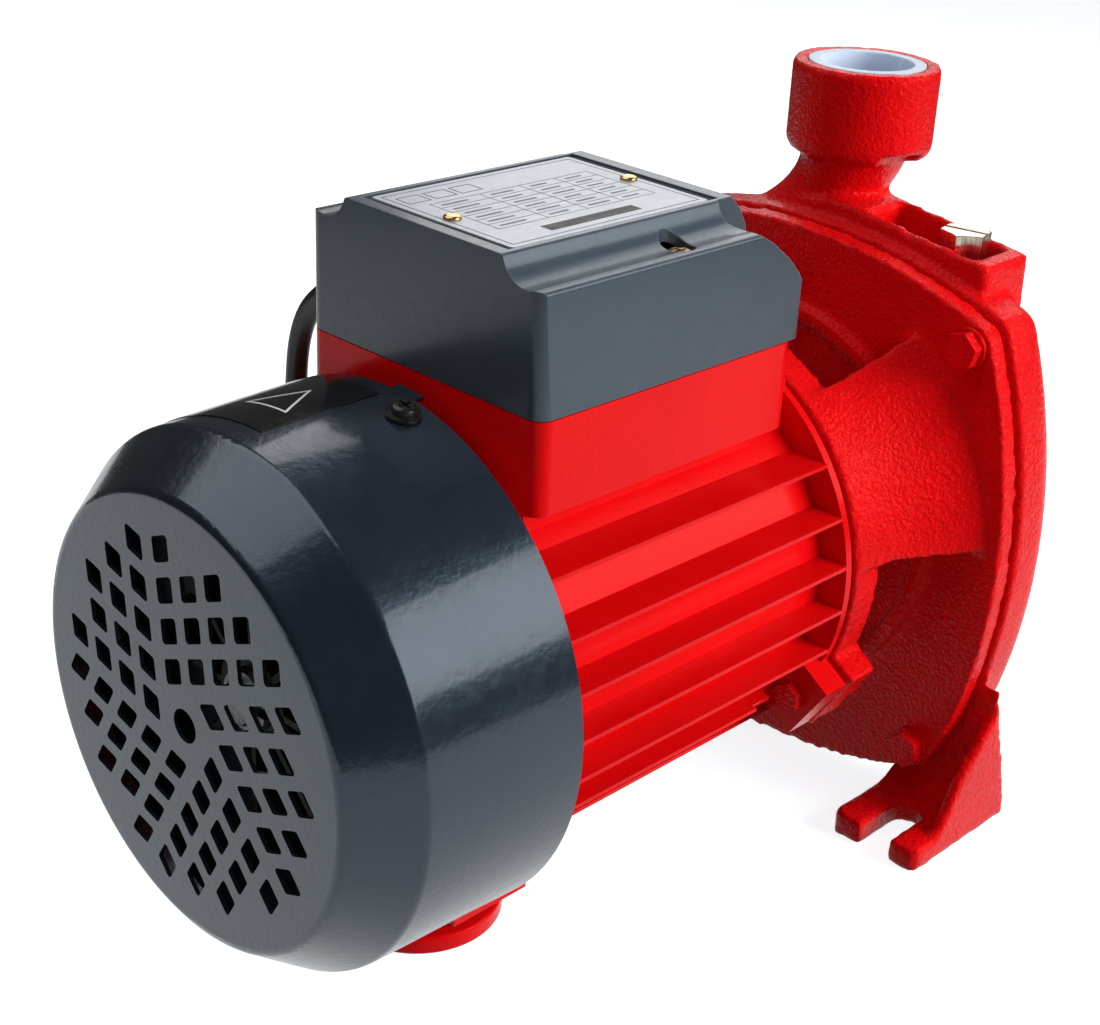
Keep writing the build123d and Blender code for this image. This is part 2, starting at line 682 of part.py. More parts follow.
def front_bracket():
    body = rod(BRACKET_X0, 198, BRACKET_R, 54.0)
    body += rod(BRACKET_X0, 191, 56.0)
    body += rod(BRACKET_X0 - 4, BRACKET_X0, SHELL_BORE_R - 0.05, 46.5)
    body += turned([(BRACKET_X0, 0), (BRACKET_X0, 32), (191, 32), (203, 25), (203, 0)])
    body += plate_yz(flange_face(), FLANGE_X0, FLANGE_X1)
    body += turned([(FLANGE_X1, 0), (FLANGE_X1, SPIGOT_R - 0.1), (FLANGE_X1 + 5, SPIGOT_R - 0.1),
                    (FLANGE_X1 + 5, 70), (FLANGE_X1, 68)])
    body += turned([(213, 0), (213, 20), (FLANGE_X0, 32), (FLANGE_X0 + 1, 32), (FLANGE_X0 + 1, 0)])
    body += turned([(FLANGE_X0 - 3, 60), (FLANGE_X0 - 3, 64), (FLANGE_X0 + 1, 66), (FLANGE_X0 + 1, 58)])
    for arm in both_sides(bracket_arm()):
        body += arm
    for lug in both_sides(spin(block(BRACKET_X0, 199.5, -73.0, -57, -12.5, 12.5), LUG_ANGLE)):
        body += lug
    for lug in both_sides(spin(block(BRACKET_X0, 196, -70.5, -57, -7, 7), EAR_ANGLE)):
        body += lug
    body -= rod(180, 188, 47, 32)
    bearing_r = FRONT_BEARING["outer"]
    body -= rod(180, 200, bearing_r) + rod(199, 240, 9.0)
    body -= rod(FLANGE_X0, 240, 14.0)
    for y, z in tie_bolt_points():
        body -= rod(180, 196, 2.55, y=y, z=z)
    for y, z in corners(FLANGE_BOLT_Y, FLANGE_BOLT_Y):
        body -= rod(220, 240, 3.2, y=y, z=z)
    return body


def tie_bolts():
    bolts = []
    for y, z in tie_bolt_points():
        head = Pos(172.6, y, z) * Rot(0, 90, 0) * hexagon(8, 3.4)
        bolts.append(head + rod(175.9, 195, 2.45, y=y, z=z))
    return bolts


def flange_bolts():
    bolts = []
    for y, z in corners(FLANGE_BOLT_Y, FLANGE_BOLT_Y):
        turn = math.degrees(math.atan2(z, y))
        head = Pos(FLANGE_X0 - 5.2, y, z) * Rot(turn, 0, 0) * Rot(0, 90, 0) * hexagon(10, 4.0)
        washer = rod(FLANGE_X0 - 1.2, FLANGE_X0, 6.2, y=y, z=z)
        bolts.append(head + washer + rod(FLANGE_X0 - 1, 248, 3.0, y=y, z=z))
    return bolts


# --- casing ----------------------------------------------------------------------------------------

def foot():
    """Foot on the -Y side: slotted plate, upright wall and outer gusset."""
    z0 = -SHAFT_HEIGHT
    y0, y1 = -FOOT_OUTER_Y, -FOOT_INNER_Y
    plate = block(FOOT_TIP_X, FOOT_BACK_X, y0, y1, z0, z0 + FOOT_PLATE)
    tips = [e for e in plate.edges().filter_by(Axis.Z) if abs(e.center().X - FOOT_TIP_X) < 0.1]
    plate = fillet(tips, 3.5)
    back = Polyline((CASING_X0, z0 + 1), (FOOT_BACK_X, z0 + 1), (247.3, -83), (242.3, -67), (236.7, -50.4),
                    (CASING_X0, -38), close=True)
    wall = extrude(Plane.XZ.offset(-y1) * make_face(back), y1 - y0)
    heel = Polyline((222, z0 + 6), (222, z0 + FOOT_PLATE), (227, z0 + 9.5), (231, z0 + 13), (CASING_X0, -72),
                    (236, -72), (236, z0 + 6), close=True)
    heel = extrude(Plane.XZ.offset(-y1) * make_face(heel), y1 - y0)
    web = Polyline((FOOT_TIP_X + 9, z0 + 6), (212, z0 + FOOT_PLATE + 3.5), (215, -75), (219.5, -66),
                   (225, -60.5), (CASING_X0, -50), (CASING_X0 + 4, -50), (CASING_X0 + 4, z0 + 6), close=True)
    gusset = extrude(Plane.XZ.offset(-(y0 + 4)) * make_face(web), 4)
    body = plate + wall + heel + gusset
    slot = block(FOOT_TIP_X - 5, FOOT_SLOT_END_X, -FOOT_SLOT_Y - FOOT_SLOT_WIDTH / 2,
                 -FOOT_SLOT_Y + FOOT_SLOT_WIDTH / 2, z0 - 1, z0 + FOOT_PLATE + 1)
    slot += post(FOOT_SLOT_END_X, -FOOT_SLOT_Y, z0 - 1, z0 + FOOT_PLATE + 1, FOOT_SLOT_WIDTH / 2)
    body -= slot
    clear = plate_yz(flange_face(1.2), FLANGE_X0 - 9, CASING_X0)
    return body - clear


def priming_pocket_solid():
    """Walls of the recess beside the outlet; its rim falls away towards -Y."""
    outline = Polyline((-63, 70), (-63, 88.0), (-6, 95.4), (10, 92), (10, 70), close=True)
    return plate_yz(make_face(outline), 236.6, 260.4)


def leaning_tube(stations):
    """Loft through level circles, each given as (z, y, r), over the port's X."""
    return loft([Pos(PORT_X, y, z) * Circle(r) for z, y, r in stations])


def outlet_neck():
    """Boss on a neck that leans towards +Y on its way down to the casing."""
    base_z = PORT_TOP_Z - PORT_BOSS_LENGTH
    boss = post(PORT_X, 0, base_z, PORT_TOP_Z, PORT_BOSS_R)
    boss = fillet(boss.edges().sort_by(Axis.Z)[0], 4.0)
    boss = fillet(boss.edges().sort_by(Axis.Z)[-1], 0.8)
    neck = leaning_tube([(74, 20, 30), (84, 14.5, 21), (91, 9.5, 17), (99, 4, 16), (base_z + 2, 1, 16.5)])
    return boss + (neck & block(CASING_X0, 300, -60, 60, 60, 200))


def volute_casing():
    body = plate_yz(flange_face(1.0), CASING_X0, CASING_X1)
    front = [e for e in body.edges() if abs(e.center().X - CASING_X1) < 0.1]
    body = fillet(front, CASING_ROUNDING)
    body += turned([(CASING_X1 - 3, 0), (CASING_X1 - 3, 80), (CASING_X1 + 2, 76), (263, 66), (267, 44),
                    (272, 31), (280, 25), (283, 23.5), (SUCTION_X - 0.8, 23.5), (SUCTION_X, 22.7),
                    (SUCTION_X, 0)])
    body += outlet_neck()
    body += priming_pocket_solid()
    for side in both_sides(foot()):
        body += side
    body += rod(CASING_X1 - 6, 269, 11, z=DRAIN_Z)
    body += block(CASING_X1 - 5, 274, -3, 3, 30, 60) + block(CASING_X1 - 5, 268, -3, 3, -56, -30)
    return body - casing_hollows()


def casing_hollows():
    """Everything cut from the casing: chamber, ports, pocket and bolt holes."""
    cut = rod(CASING_X0 - 1, CHAMBER_X1, CHAMBER_R) + rod(CASING_X0 - 1, 237.5, SPIGOT_R)
    cut += rod(CHAMBER_X1 - 1, 264, 20.4) + rod(262, 290, PASSAGE_R)
    cut += rod(SUCTION_X - MOUTH_DEPTH - THREAD_LENGTH, SUCTION_X + 1, THREAD_R)
    cut += rod(SUCTION_X - MOUTH_DEPTH, SUCTION_X + 1, MOUTH_R)
    passage = leaning_tube([(66, 22, 11), (84, 14, 11), (99, 4, 11.5), (112, 0, 12)])
    cut += passage & block(236, 280, -30, 60, 60, 120)
    cut += post(PORT_X, 0, PORT_TOP_Z - MOUTH_DEPTH - THREAD_LENGTH, PORT_TOP_Z, THREAD_R)
    cut += post(PORT_X, 0, PORT_TOP_Z - MOUTH_DEPTH, PORT_TOP_Z + 1, MOUTH_R)
    pocket = block(239.8, 257.2, -57.5, -17, 80.0, 110)
    pocket = fillet(pocket.edges().filter_by(Axis.Z), 2.0)
    cut += pocket
    cut += post(*PRIMING_AT, 60, 81, 4.3)
    cut += rod(250, 270, 4.3, z=DRAIN_Z)
    for y, z in corners(FLANGE_BOLT_Y, FLANGE_BOLT_Y):
        cut += rod(CASING_X0 - 1, 252, 3.05, y=y, z=z)
    return cut


def casing_seal():
    return rod(FLANGE_X1 + 0.05, CASING_X0 - 0.05, 84.0, SPIGOT_R + 0.4)


def hex_plug(across_flats, head, shank_r, shank):
    """Hexagonal plug along Z with its seat at z = 0."""
    top = hexagon(across_flats, head)
    dome = Pos(0, 0, head - 30 + 0.2) * Sphere(30.6)
    top &= dome
    return top + Pos(0, 0, -shank / 2) * Cylinder(shank_r, shank)


def priming_plug():
    plug = hex_plug(13.4, 12.4, 4.2, 9.0) - Pos(0, 0, 12.4) * Box(1.6, 20, 2.4)
    return Pos(*PRIMING_AT, 81.3) * Rot(0, 0, 12) * plug


def priming_washer():
    return post(*PRIMING_AT, 80.05, 81.25, 7.6, 4.3)


def drain_plug():
    return Pos(269.1, 0, DRAIN_Z) * Rot(0, 90, 0) * hex_plug(12.0, 7.0, 4.2, 10.0)


def transit_plug():
    """Thin plastic cup that closes a port, along Z with its rim at z = 0."""
    r = MOUTH_R - 0.1
    cup = Pos(0, 0, -4.2) * Cylinder(r, 8.4)
    well = Pos(0, 0, -3.3) * Cylinder(r - 3.6, 7.0)
    well = fillet(well.edges().sort_by(Axis.Z)[0], 1.5)
    return cup - well


def outlet_plug():
    return Pos(PORT_X, 0, PORT_TOP_Z) * transit_plug()


def inlet_plug():
    return Pos(SUCTION_X, 0, 0) * Rot(0, 90, 0) * transit_plug()


# --- wet end ---------------------------------------------------------------------------------------

def slinger():
    return turned([(205, 7.5), (205, 12), (208, 17), (209.5, 17), (209, 11), (210, 10.5), (210, 7.5)])


def seal_seat():
    return rod(FLANGE_X0 + 0.5, 231.0, 13.95, 8.4)


def seal_ring():
    return rod(231.1, 235.0, 12.0, 7.5)


def seal_bellows():
    body = rod(235.0, 242.5, 11.0, 7.5)
    for x in (236.4, 238.4, 240.4):
        body -= rod(x, x + 0.9, 12, 9.6)
    return body


def impeller():
    hub = turned([(242.5, 6.0), (242.5, 13), (247, 13), (253.5, 9.5), (253.5, 6.0)])
    wheel = hub + rod(243.5, 245.7, IMPELLER_R, 6.0)
    wheel += turned([(250.6, IMPELLER_R), (252.4, IMPELLER_R), (254.2, 24), (254.8, 20), (261.5, 20),
                     (261.5, 17.6), (252.2, 20)])
    for i in range(6):
        vane = trace(ThreePointArc((20, 0), (34, 27), (18, 62)), 2.6)
        wheel += Rot(60 * i, 0, 0) * extrude(Plane.YZ.offset(245.2) * vane, 6.6)
    wheel &= rod(240, 263, IMPELLER_R)
    wheel -= rod(240, 254.5, 6.0)
    return wheel - block(242, 253.6, -2, 2, 0, 8)


def impeller_key():
    return block(242.6, 253.4, -1.95, 1.95, 4.05, 7.9)


def impeller_nut():
    nut = Pos(254.2, 0, 0) * Rot(0, 90, 0) * hexagon(14, 6) - rod(250, 265, 5.0)
    return nut


def build_parts():
    rear_outer, rear_inner, rear_cage = bearing(REAR_BEARING)
    front_outer, front_inner, front_cage = bearing(FRONT_BEARING)
    return {
        "fan_cover": fan_cover(),
        "cover_screws": cover_screws(),
        "cover_sticker": cover_sticker(),
        "cooling_fan": cooling_fan(),
        "fan_clip": fan_clip(),
        "rear_end_shield": rear_end_shield(),
        "wave_washer": wave_washer(),
        "rear_bearing_outer": rear_outer,
        "rear_bearing_inner": rear_inner,
        "rear_bearing_balls": rear_cage,
        "front_bearing_outer": front_outer,
        "front_bearing_inner": front_inner,
        "front_bearing_balls": front_cage,
        "shaft": shaft(),
        "rotor_core": rotor_core(),
        "rotor_cage": rotor_cage(),
        "stator_core": stator_core(),
        "stator_winding": stator_winding(),
        "motor_frame": motor_frame(),
        "support_foot": support_foot(),
        "foot_screw": foot_screw(),
        "lid_gasket": lid_gasket(),
        "terminal_lid": terminal_lid(),
        "lid_screws": lid_screws(),
        "nameplate": nameplate(),
        "nameplate_rivets": nameplate_rivets(),
        "terminal_block": terminal_block(),
        "capacitor": capacitor(),
        "cable_gland": cable_gland(),
        "gland_nut": gland_nut(),
        "cord_sleeve": cord_sleeve(),
        "supply_cord": supply_cord(),
        "cord_coil": cord_coil(),
        "plug_cord": plug_cord(),
        "mains_plug": mains_plug(),
        "front_bracket": front_bracket(),
        "tie_bolts": tie_bolts(),
        "flange_bolts": flange_bolts(),
        "volute_casing": volute_casing(),
        "casing_seal": casing_seal(),
        "priming_plug": priming_plug(),
        "priming_washer": priming_washer(),
        "drain_plug": drain_plug(),
        "outlet_plug": outlet_plug(),
        "inlet_plug": inlet_plug(),
        "slinger": slinger(),
        "seal_seat": seal_seat(),
        "seal_ring": seal_ring(),
        "seal_bellows": seal_bellows(),
        "impeller": impeller(),
        "impeller_key": impeller_key(),
        "impeller_nut": impeller_nut(),
    }


def main():
    os.makedirs("parts", exist_ok=True)
    for name, shape in build_parts().items():
        pieces = shape if isinstance(shape, list) else [shape]
        solids = [s for piece in pieces for s in place(piece).solids()]
        whole = solids[0] if len(solids) == 1 else Compound(children=solids)
        export_step(whole, f"parts/{name}.step")


main()
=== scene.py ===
import json
import math

import bmesh
import bpy
import numpy as np
from mathutils import Matrix, Vector, noise


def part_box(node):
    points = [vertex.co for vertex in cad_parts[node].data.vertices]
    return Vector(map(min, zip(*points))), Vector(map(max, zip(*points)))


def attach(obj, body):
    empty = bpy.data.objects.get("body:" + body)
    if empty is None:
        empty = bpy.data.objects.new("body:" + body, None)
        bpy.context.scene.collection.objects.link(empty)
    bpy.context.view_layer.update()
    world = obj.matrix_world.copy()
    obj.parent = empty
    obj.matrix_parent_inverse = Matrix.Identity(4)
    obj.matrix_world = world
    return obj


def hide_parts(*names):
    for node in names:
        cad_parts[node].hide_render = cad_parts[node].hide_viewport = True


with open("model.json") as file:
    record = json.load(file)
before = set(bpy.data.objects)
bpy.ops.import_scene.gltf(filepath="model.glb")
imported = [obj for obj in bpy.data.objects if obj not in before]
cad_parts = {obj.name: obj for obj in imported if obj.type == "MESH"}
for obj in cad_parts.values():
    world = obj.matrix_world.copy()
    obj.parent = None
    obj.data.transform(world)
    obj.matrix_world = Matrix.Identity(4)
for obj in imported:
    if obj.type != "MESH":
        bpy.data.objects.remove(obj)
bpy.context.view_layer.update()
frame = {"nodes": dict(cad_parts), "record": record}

MM = 0.001

# --- where things are, in millimetres of the drawing ---------------------------------------------
# X runs from the fan cover's face, Z from the shaft; row() turns them into metres in the row frame.
FOOT_BOLT_X = 210.0
SHAFT_HEIGHT = 92.0

# the supply cord: its way down from the gland, its stored turns as (radius, z), its way to the plug
CORD_R = 3.5
CORD_START = [
    (121, 72.5, 65.4), (121, 88.0, 65.4), (120.6, 102.2, 57.2), (120, 109.6, 43.0),
    (118.5, 109.6, 22), (116, 109.4, 1), (113, 109.8, -20), (110.6, 110.1, -38),
    (110.3, 110.3, -53.5), (118, 110.6, -66.5), (132.5, 110.9, -74.0),
]
COIL_X, COIL_Y = 148.0, 72.0
COIL_SLOTS = [(38.5, -75.5), (35.0, -81.5), (35.0, -88.5), (42.0, -88.5), (42.0, -81.5)]
COIL_START_ANGLE = 90.0
COIL_STEP_SHARE = 1 / 6
POINTS_PER_TURN = 16
CORD_END = [(148, 114, -81.5), (162, 114.6, -82.5), (178, 116, -84.9)]

# the sticker on the fan cover's side; places are (x, angle), and (x, radius) for the cover
COVER_SHOULDER = (16.0, 72.3)
COVER_RIM = (64.3, 73.8)
TRIANGLE = [(35.3, 106.4), (49.3, 99.3), (34.6, 92.5)]
TRIANGLE_LIFT, TRIANGLE_THICKNESS = 0.30, 0.05
TRIANGLE_INNER_SCALE = 0.87
TRIANGLE_SIDE_POINTS = 12

# the print on the nameplate; rectangles are x0, x1, y0, y1, and shares run along the table
PRINT_LIFT, PRINT_THICKNESS = 0.01, 0.03
PLATE_FRAME, PLATE_FRAME_LINE = (82.0, 150.4, -24.7, 24.7), 0.35
PLATE_TABLE, PLATE_TABLE_LINE = (88.0, 145.0, -13.5, 12.5), 0.25
PLATE_ROWS = 6
PLATE_COLUMN_SHARES = (0, 0.3, 0.55, 0.78, 1)
PLATE_ENTRY_SHARES = (0.04, 0.34, 0.59, 0.82)
PLATE_ENTRY_HALF_HEIGHT = 0.45
PLATE_BOX, PLATE_BOX_LINE = (84.0, 91.5, 15.5, 21.5), 0.4
PLATE_BOX_COUNT, PLATE_BOX_PITCH = 3, 9.0
PLATE_BAR = (98.0, 131.0, -21.8, -17.6)

# --- camera, in the row frame --------------------------------------------------------------------
CAMERA_AT = (-0.42998, -0.33548, 0.34035)
CAMERA_YAW, CAMERA_PITCH, CAMERA_ROLL = 41.80, 24.91, 3.77
LENS_MM, SENSOR_MM = 60.905, 36.0
SHIFT_X, SHIFT_Y = -0.0660, -0.0099

# --- studio, in the row frame --------------------------------------------------------------------
STUDIO_CENTRE = (-0.07, 0.0, 0.09)
# name, place, width, height, watts, whether it leaves a reflection
SOFTBOXES = [
    ("light_right", (0.55, -1.15, 0.72), 1.3, 0.80, 10, True),
    ("light_key", (0.45, -1.15, 0.55), 0.6, 0.6, 15.5, False),
    ("light_fill", (-0.95, -0.75, 0.40), 0.6, 0.6, 2.0, False),
    ("light_top", (-0.42, 0.42, 1.15), 1.3, 1.1, 7, True),
    ("light_back", (0.85, 0.50, 0.80), 1.0, 0.8, 5, True),
]
SKY_STRENGTH, SKY_SPREAD, SKY_LEAN = 0.15, 70, (0.15, -0.25, 1.0)
WORLD_STRENGTH = 0.05
FLOOR_RADIUS, FLOOR_Z, FLOOR_GLOW, FLOOR_ALBEDO = 15, -0.0005, 0.86, 0.54
CARD_RADIUS, CARD_Z, CARD_GLOW, CARD_ALBEDO = 0.75, -0.002, 0.8, 0.1
DISC_SEGMENTS = 64

# --- colours, linear -----------------------------------------------------------------------------
RED = (0.700, 0.0030, 0.0045)
RED_DEEP = (0.640, 0.0024, 0.0038)
RED_REFLECTION = (1.0, 0.10, 0.10)
SLATE = (0.011, 0.016, 0.024)
SLATE_LID = (0.042, 0.056, 0.073)
# paler colour for the lid's sharp edges: a painted highlight
LID_EDGE_HIGHLIGHT = (0.16, 0.19, 0.23)
TABLE_INK = (0.12, 0.13, 0.15)
BOLD_INK = (0.006, 0.006, 0.008)
WHITE_INK = (0.86, 0.87, 0.88)

# colour, roughness, grain in mm
DARK_PLASTICS = {
    "black_plastic": ((0.014, 0.014, 0.015), 0.36, 0.5),
    "rubber": ((0.018, 0.018, 0.019), 0.62, 0.4),
    "cord": ((0.012, 0.012, 0.013), 0.38, 0.9),
}
METALS = {
    "nickel": dict(colour=(0.84, 0.76, 0.62), dark=(0.62, 0.55, 0.44), roughness=0.20,
                   scratch=(1, 1, 0.15), depth_mm=0.008),
    "brass": dict(colour=(0.86, 0.62, 0.30), dark=(0.62, 0.40, 0.16), roughness=0.24,
                  depth_mm=0.006),
    "plate": dict(colour=(0.50, 0.52, 0.56), dark=(0.45, 0.47, 0.51), roughness=0.34,
                  scratch=(0.03, 1, 1), depth_mm=0.002, grain_mm=0.3, bare=0.3),
    "dark_steel": dict(colour=(0.060, 0.058, 0.055), dark=(0.030, 0.030, 0.031),
                       roughness=0.30, bare=0.8),
    "steel": dict(colour=(0.55, 0.55, 0.56), dark=(0.34, 0.34, 0.35), roughness=0.32,
                  scratch=(0.2, 1, 1), depth_mm=0.005),
    "die_cast": dict(colour=(0.60, 0.61, 0.62), dark=(0.44, 0.45, 0.46), roughness=0.50,
                     depth_mm=0.02, grain_mm=0.9),
}

# --- surfaces ------------------------------------------------------------------------------------
# nearly all of a noise texture's values lie between these
NOISE_LOW, NOISE_HIGH = 0.3, 0.7
# the bevelled normal's cosine to the flat one, where an edge gets the full painted highlight and
# where none
FULL_HIGHLIGHT_COSINE, NO_HIGHLIGHT_COSINE = 0.90, 0.99
HIGHLIGHT_SAMPLES, EDGE_SAMPLES = 8, 6
# bands across the shaft about a millimetre apart
SHEET_WAVE_SCALE = 1000.0 / math.pi

# name, CAD node, voxel in mm, pebble depth in mm, flash depth in mm, seed
CASTINGS = [
    ("pump_casing", "volute_casing", 1.15, 0.07, 0.5, 3.1),
    ("pump_bracket", "front_bracket", 0.95, 0.10, 1.0, 7.7),
]
WELD_DISTANCE = 1e-6
SMOOTHING_ROUNDS, SMOOTHING_SHARE = 2, 0.5
# a vertex this far above its neighbours, as a share of the edge length, starts to carry flash
RIDGE_START, RIDGE_SPAN = 0.03, 0.10
# noise cycles per metre
PEBBLE_FREQUENCY, GRIT_FREQUENCY, FLASH_FREQUENCY = 420, 800, 260
GRIT_SHARE = 0.6


def row(x, y, z):
    """A point of the drawing, in metres in the row frame."""
    return Vector(((x - FOOT_BOLT_X) * MM, y * MM, (z + SHAFT_HEIGHT) * MM))


def add_object(name, data):
    thing = bpy.data.objects.new(name, data)
    bpy.context.scene.collection.objects.link(thing)
    return thing


# --- camera and light ----------------------------------------------------------------------------

def make_camera():
    yaw, pitch, roll = (math.radians(a) for a in (CAMERA_YAW, CAMERA_PITCH, CAMERA_ROLL))
    flat = math.cos(pitch)
    ahead = Vector((math.cos(yaw) * flat, math.sin(yaw) * flat, -math.sin(pitch)))
    level = ahead.cross(Vector((0, 0, 1))).normalized()
    upward = level.cross(ahead)
    right = math.cos(roll) * level + math.sin(roll) * upward
    up = math.cos(roll) * upward - math.sin(roll) * level
    data = bpy.data.cameras.new("camera")
    data.lens = LENS_MM
    data.sensor_width = SENSOR_MM
    data.shift_x = SHIFT_X
    data.shift_y = SHIFT_Y
    camera = add_object("camera", data)
    turn = Matrix((right, up, -ahead)).transposed().to_4x4()
    camera.matrix_world = Matrix.Translation(CAMERA_AT) @ turn
    bpy.context.scene.camera = camera


def softbox(name, at, width, height, watts, seen):
    """Rectangular light that faces the pump; one that isn't seen leaves no reflection."""
    data = bpy.data.lights.new(name, "AREA")
    data.shape = "RECTANGLE"
    data.size = width
    data.size_y = height
    data.energy = watts
    light = add_object(name, data)
    light.location = at
    ahead = Vector(STUDIO_CENTRE) - Vector(at)
    light.rotation_euler = ahead.to_track_quat("-Z", "Y").to_euler()
    light.visible_glossy = seen


def sky_light():
    """Faint, very soft light from above, which leaves no reflection."""
    data = bpy.data.lights.new("light_sky", "SUN")
    data.energy = SKY_STRENGTH
    data.angle = math.radians(SKY_SPREAD)
    light = add_object("light_sky", data)
    light.rotation_euler = Vector(SKY_LEAN).to_track_quat("Z", "Y").to_euler()
    light.visible_glossy = False


def make_studio():
    sky_light()
    for settings in SOFTBOXES:
        softbox(*settings)
    world = bpy.data.worlds.new("studio")
    world.use_nodes = True
    background = world.node_tree.nodes["Background"]
    background.inputs["Color"].default_value = (1, 1, 1, 1)
    background.inputs["Strength"].default_value = WORLD_STRENGTH
    scene = bpy.context.scene
    scene.world = world
    scene.view_settings.view_transform = "Standard"
    scene.view_settings.look = "None"


# --- materials -----------------------------------------------------------------------------------

class Graph:
    """A material whose node tree is written in short calls.

    Its coordinates are the row frame in metres. Keywords set inputs of the main shader.
    """

    def __init__(self, name, **settings):
        self.material = bpy.data.materials.new(name)
        self.material.use_nodes = True
        self.tree = self.material.node_tree
        self.shader = self.tree.nodes["Principled BSDF"]
        self.place = self.add("ShaderNodeTexCoord").outputs["Object"]
        for socket, value in settings.items():
            self.set(socket.replace("_", " "), value)

    def add(self, kind, **settings):
        node = self.tree.nodes.new(kind)
        for key, value in settings.items():
            setattr(node, key, value)
        return node

    def link(self, source, socket):
        self.tree.links.new(source, socket)

    def set(self, socket, value):
        """Sets a shader input to a number or colour, or links a texture to it."""
        target = self.shader.inputs[socket]
        if isinstance(value, bpy.types.NodeSocket):
            self.link(value, target)
        elif hasattr(value, "__len__") and len(value) == 3 and target.type == "RGBA":
            target.default_value = (*value, 1)
        else:
            target.default_value = value

    def stretched(self, x, y, z):
        """Coordinates scaled by axis; a pattern is drawn out along an axis with a low factor."""
        node = self.add("ShaderNodeMapping")
        node.inputs["Scale"].default_value = (x, y, z)
        self.link(self.place, node.inputs["Vector"])
        return node.outputs["Vector"]

    def noise(self, size_mm, detail=2.0, vector=None, distortion=0.0):
        """Smooth noise whose blobs are about size_mm across."""
        node = self.add("ShaderNodeTexNoise")
        node.inputs["Scale"].default_value = 1.0 / (size_mm * MM)
        node.inputs["Detail"].default_value = detail
        node.inputs["Distortion"].default_value = distortion
        self.link(vector or self.place, node.inputs["Vector"])
        return node.outputs["Fac"]

    def between(self, factor, low, high, start, end):
        """A number that goes from low to high as factor goes from start to end."""
        node = self.add("ShaderNodeMapRange")
        node.inputs["From Min"].default_value = start
        node.inputs["From Max"].default_value = end
        node.inputs["To Min"].default_value = low
        node.inputs["To Max"].default_value = high
        self.link(factor, node.inputs["Value"])
        return node.outputs["Result"]

    def colours(self, factor, dark, light, start=NOISE_LOW, end=NOISE_HIGH):
        """A colour that goes from dark to light as factor goes from start to end."""
        node = self.add("ShaderNodeValToRGB")
        first, last = node.color_ramp.elements
        first.position = start
        first.color = (*dark, 1)
        last.position = end
        last.color = (*light, 1)
        self.link(factor, node.inputs["Fac"])
        return node.outputs["Color"]

    def mottle(self, size_mm, detail, dark, light, start=NOISE_LOW, end=NOISE_HIGH):
        """A base colour in soft patches about size_mm across."""
        patches = self.noise(size_mm, detail)
        self.set("Base Color", self.colours(patches, dark, light, start, end))

    def sheen(self, size_mm, detail, low, high, vector=None):
        """A roughness in soft patches about size_mm across."""
        patches = self.noise(size_mm, detail, vector)
        self.set("Roughness", self.between(patches, low, high, NOISE_LOW, NOISE_HIGH))

    def mixed(self, factor, low, high):
        """A colour that goes from the texture low to the plain colour high."""
        node = self.add("ShaderNodeMix", data_type="RGBA")
        self.link(factor, node.inputs["Factor"])
        colour_a, colour_b = (socket for socket in node.inputs if socket.type == "RGBA")
        self.link(low, colour_a)
        colour_b.default_value = (*high, 1)
        return next(socket for socket in node.outputs if socket.type == "RGBA")

    def bevelled_normal(self, radius_mm, samples):
        """The surface's normal, rounded over within radius_mm of a sharp edge."""
        node = self.add("ShaderNodeBevel", samples=samples)
        node.inputs["Radius"].default_value = radius_mm * MM
        return node.outputs["Normal"]

    def highlighted_edges(self, width_mm):
        """One on sharp edges, for about width_mm either side, and nought elsewhere; it masks a
        painted highlight.
        """
        flat = self.add("ShaderNodeNewGeometry").outputs["Normal"]
        cosine = self.add("ShaderNodeVectorMath", operation="DOT_PRODUCT")
        self.link(self.bevelled_normal(width_mm, HIGHLIGHT_SAMPLES), cosine.inputs[0])
        self.link(flat, cosine.inputs[1])
        return self.between(cosine.outputs["Value"], 1.0, 0.0, FULL_HIGHLIGHT_COSINE, NO_HIGHLIGHT_COSINE)

    def bump(self, *layers, edge_mm=0.0):
        """Bump layers of (height, depth in mm), finest last; edge_mm softens sharp edges."""
        normal = self.bevelled_normal(edge_mm, EDGE_SAMPLES) if edge_mm else None
        for height, depth_mm in layers:
            node = self.add("ShaderNodeBump")
            node.inputs["Strength"].default_value = 1.0
            node.inputs["Distance"].default_value = depth_mm * MM
            self.link(height, node.inputs["Height"])
            if normal:
                self.link(normal, node.inputs["Normal"])
            normal = node.outputs["Normal"]
        self.link(normal, self.shader.inputs["Normal"])


def shade(colour, share):
    return tuple(share * channel for channel in colour)


def red_cast():
    """Thick gloss enamel over a sand casting."""
    g = Graph("red_cast", Specular_IOR_Level=0.35, Specular_Tint=RED_REFLECTION)
    g.mottle(14, 3, RED_DEEP, RED, 0.35, 0.62)
    g.sheen(2, 3, 0.20, 0.34)
    g.bump((g.noise(1.25, 2, distortion=0.2), 0.55), (g.noise(0.6, 2), 0.08))
    return g.material


def red_frame():
    """Gloss enamel over a smooth die casting, with slight orange peel."""
    g = Graph("red_frame", Specular_IOR_Level=0.40, Specular_Tint=RED_REFLECTION)
    g.mottle(40, 2, RED_DEEP, RED, 0.35, 0.60)
    g.sheen(2, 3, 0.20, 0.26)
    g.bump((g.noise(1.8, 2), 0.070), (g.noise(0.8, 1), 0.012))
    return g.material


def slate_paint():
    """Grey enamel on pressed steel, with orange peel that shows in its highlights."""
    g = Graph("slate_paint", Coat_Weight=0.55, Coat_Roughness=0.09, IOR=1.6,
              Specular_Tint=(0.62, 0.80, 1.0))
    g.mottle(18, 2, shade(SLATE, 0.86), SLATE)
    g.sheen(4, 3, 0.20, 0.28)
    g.bump((g.noise(2.0, 2), 0.085), (g.noise(0.7, 1), 0.012))
    return g.material


